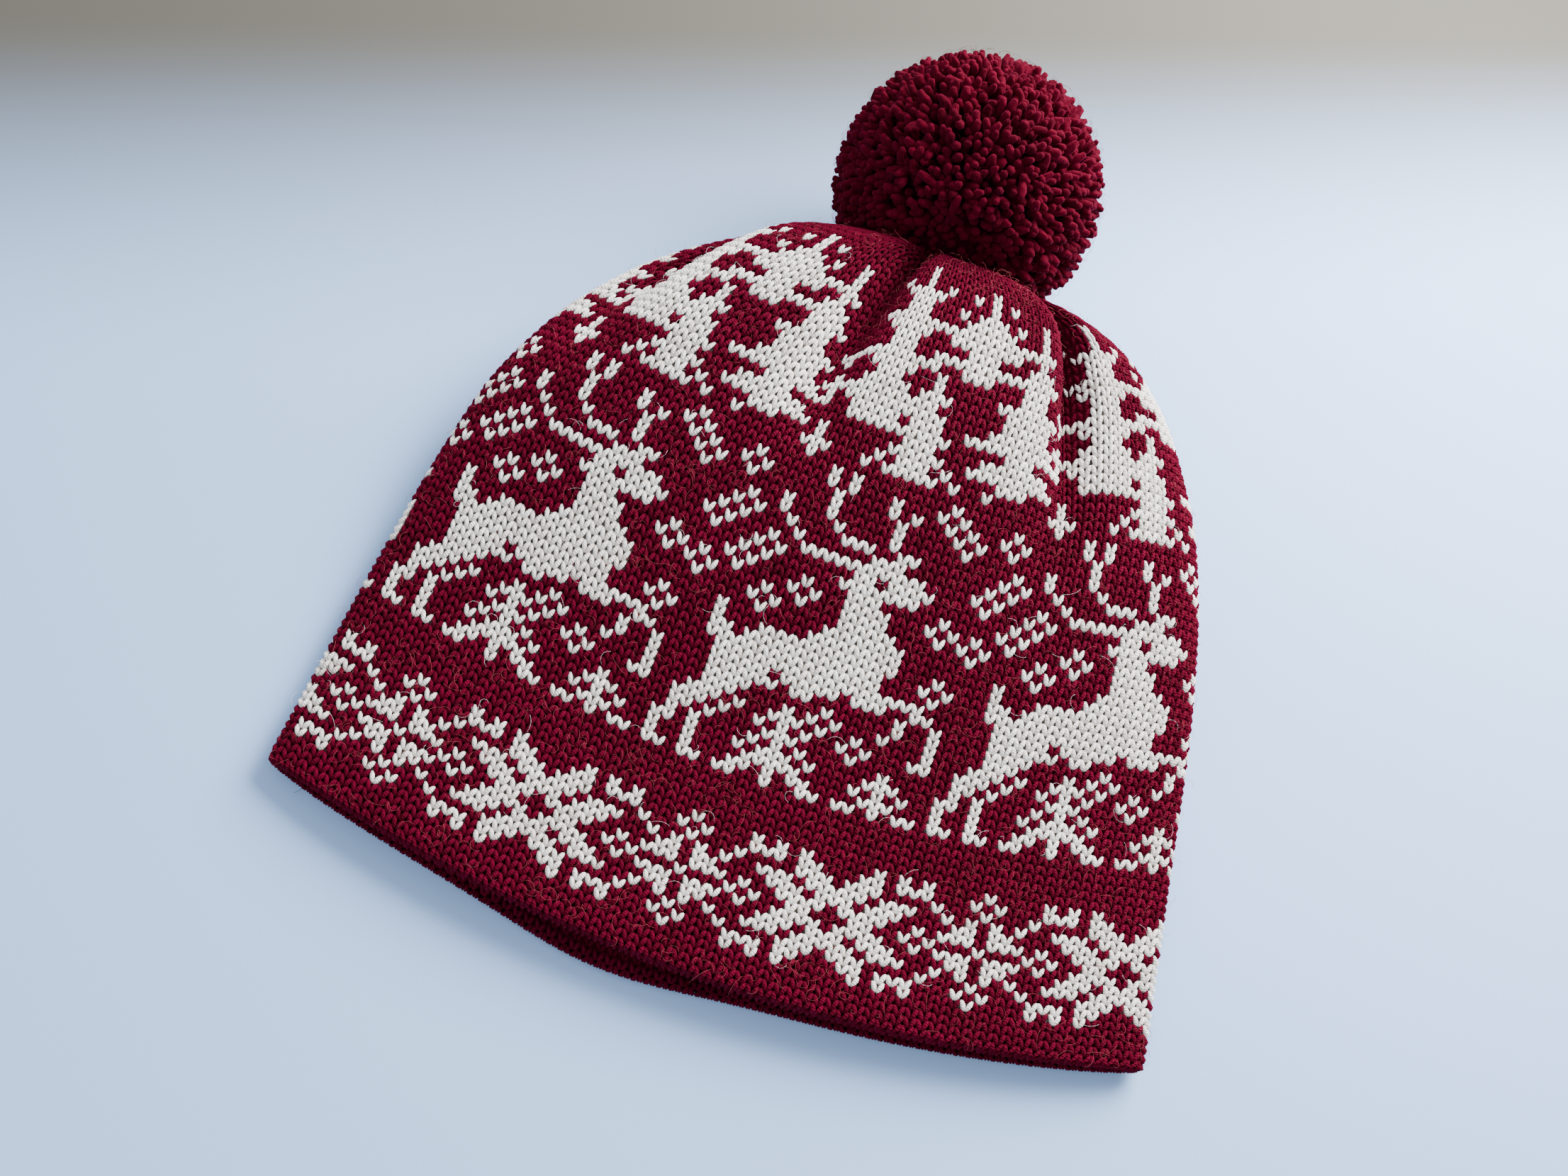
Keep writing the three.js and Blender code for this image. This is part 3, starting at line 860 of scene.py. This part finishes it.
def knitFuzz(name, template, count, cream, material, random):
    tries = count * fuzz["triesForOne"]
    rows = random.uniform(1, knit["rows"] - fuzz["plainRows"], tries)
    columns = random.uniform(0, knit["stitchesRound"], tries)
    topHalf = knit["stitchesRound"] / 4 + fuzz["sideColumns"]
    above = np.abs(columnsApart(columns, knit["topColumn"])) < topHalf
    wanted = isCream(np.round(rows).astype(int), np.round(columns).astype(int)) == cream
    chosen = np.nonzero(wanted & above)[0][:count]
    points, normals, _ = onSurface(rows[chosen], columns[chosen])
    starts = points + normals * fuzz["knitRoot"]
    rise = random.uniform(*fuzz["rise"], len(chosen))
    placed = bendFibres(template, starts, normals, random, rise)
    shades = np.full(placed.shape[:2], fuzz["knitShade"])
    piece = meshOfCopies(name, template, placed, shades, material)


def pompomFuzz(template, random):
    directions = unit(random.normal(0, 1, (fuzz["pompomCurls"], 3)))
    reach = pompomReach(directions) * fuzz["pompomRoot"]
    starts = directions * reach[:, None] + np.array(pompom["centre"])
    rise = random.uniform(*fuzz["pompomRise"], len(starts))
    placed = bendFibres(template, starts, directions, random, rise)
    shades = np.full(placed.shape[:2], fuzz["pompomShade"])
    piece = meshOfCopies("pompomFuzz", template, placed, shades, pompomWool)


fibreRandom = np.random.RandomState(fuzz["seed"])
fibre = fibreTemplate()
knitFuzz("burgundyFuzz", fibre, fuzz["burgundyCurls"], False, paleFibre, fibreRandom)
knitFuzz("creamFuzz", fibre, fuzz["creamCurls"], True, creamWool, fibreRandom)
pompomFuzz(fibre, fibreRandom)
print("loose fibres laid")

# Floor and light
studio = dict(
    floorSize=5.0, floorRoughness=0.7, floorGloss=0.1,
    # The floor goes from its pale near colour to a dark warm grey far from the camera: painted shade on the
    # far floor
    floorNear=(0.32, 0.475, 0.75), floorFarShade=(0.085, 0.081, 0.068),
    farFrom=0.07, farTo=0.24,             # metres from the middle of the hat
    farWay=(-0.5, 0.866, 0.0),            # the picture's upward way along the floor
    worldColour=(0.86, 0.92, 1.0), worldStrength=1.05,
    windowPlace=(0.28, 0.42, 0.44), windowSize=0.5, windowPower=25.0, windowColour=(1.0, 0.98, 0.97),
    fillPlace=(-0.7, -0.8, 0.9), fillSize=1.2, fillPower=5.0, fillColour=(0.88, 0.93, 1.0),
)


def makeFloor():
    selectNone()
    bpy.ops.mesh.primitive_plane_add(size=studio["floorSize"])
    floor = bpy.context.object
    floor.name = "floor"
    material = bpy.data.materials.new("paleFloor")
    material.use_nodes = True
    tree = material.node_tree
    shader = tree.nodes["Principled BSDF"]
    shader.inputs["Roughness"].default_value = studio["floorRoughness"]
    shader.inputs["Specular IOR Level"].default_value = studio["floorGloss"]
    place = tree.nodes.new("ShaderNodeTexCoord")
    away = tree.nodes.new("ShaderNodeVectorMath")
    away.operation = 'DOT_PRODUCT'
    away.inputs[1].default_value = studio["farWay"]
    link(tree, place.outputs["Object"], away.inputs[0])
    # Painted shade: the floor darkens and warms away from the camera
    depth = tree.nodes.new("ShaderNodeMapRange")
    depth.interpolation_type = 'SMOOTHSTEP'
    depth.inputs["From Min"].default_value = studio["farFrom"]
    depth.inputs["From Max"].default_value = studio["farTo"]
    link(tree, away.outputs["Value"], depth.inputs["Value"])
    mix = tree.nodes.new("ShaderNodeMix")
    mix.data_type = 'RGBA'
    mix.inputs["A"].default_value = (*studio["floorNear"], 1)
    mix.inputs["B"].default_value = (*studio["floorFarShade"], 1)
    link(tree, depth.outputs["Result"], mix.inputs["Factor"])
    link(tree, mix.outputs["Result"], shader.inputs["Base Color"])
    floor.data.materials.append(material)


def makeAreaLight(name, place, size, power, colour):
    bpy.ops.object.light_add(type='AREA', location=place)
    light = bpy.context.object
    light.name = name
    light.data.size = size
    light.data.energy = power
    light.data.color = colour
    light.rotation_euler = (-Vector(place)).to_track_quat('-Z', 'Y').to_euler()


def makeLight():
    world = bpy.data.worlds.new("softSky")
    bpy.context.scene.world = world
    world.use_nodes = True
    sky = world.node_tree.nodes["Background"]
    sky.inputs["Color"].default_value = (*studio["worldColour"], 1)
    sky.inputs["Strength"].default_value = studio["worldStrength"]
    makeAreaLight("window", studio["windowPlace"], studio["windowSize"], studio["windowPower"],
                  studio["windowColour"])
    makeAreaLight("fill", studio["fillPlace"], studio["fillSize"], studio["fillPower"],
                  studio["fillColour"])


makeFloor()
makeLight()
makeCamera()
print("floor, light and camera placed")

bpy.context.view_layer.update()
triangles = sum(len(face.vertices) - 2 for piece in bpy.data.objects if piece.type == 'MESH'
                and not piece.hide_render for face in piece.data.polygons)
print("triangles shown:", triangles)
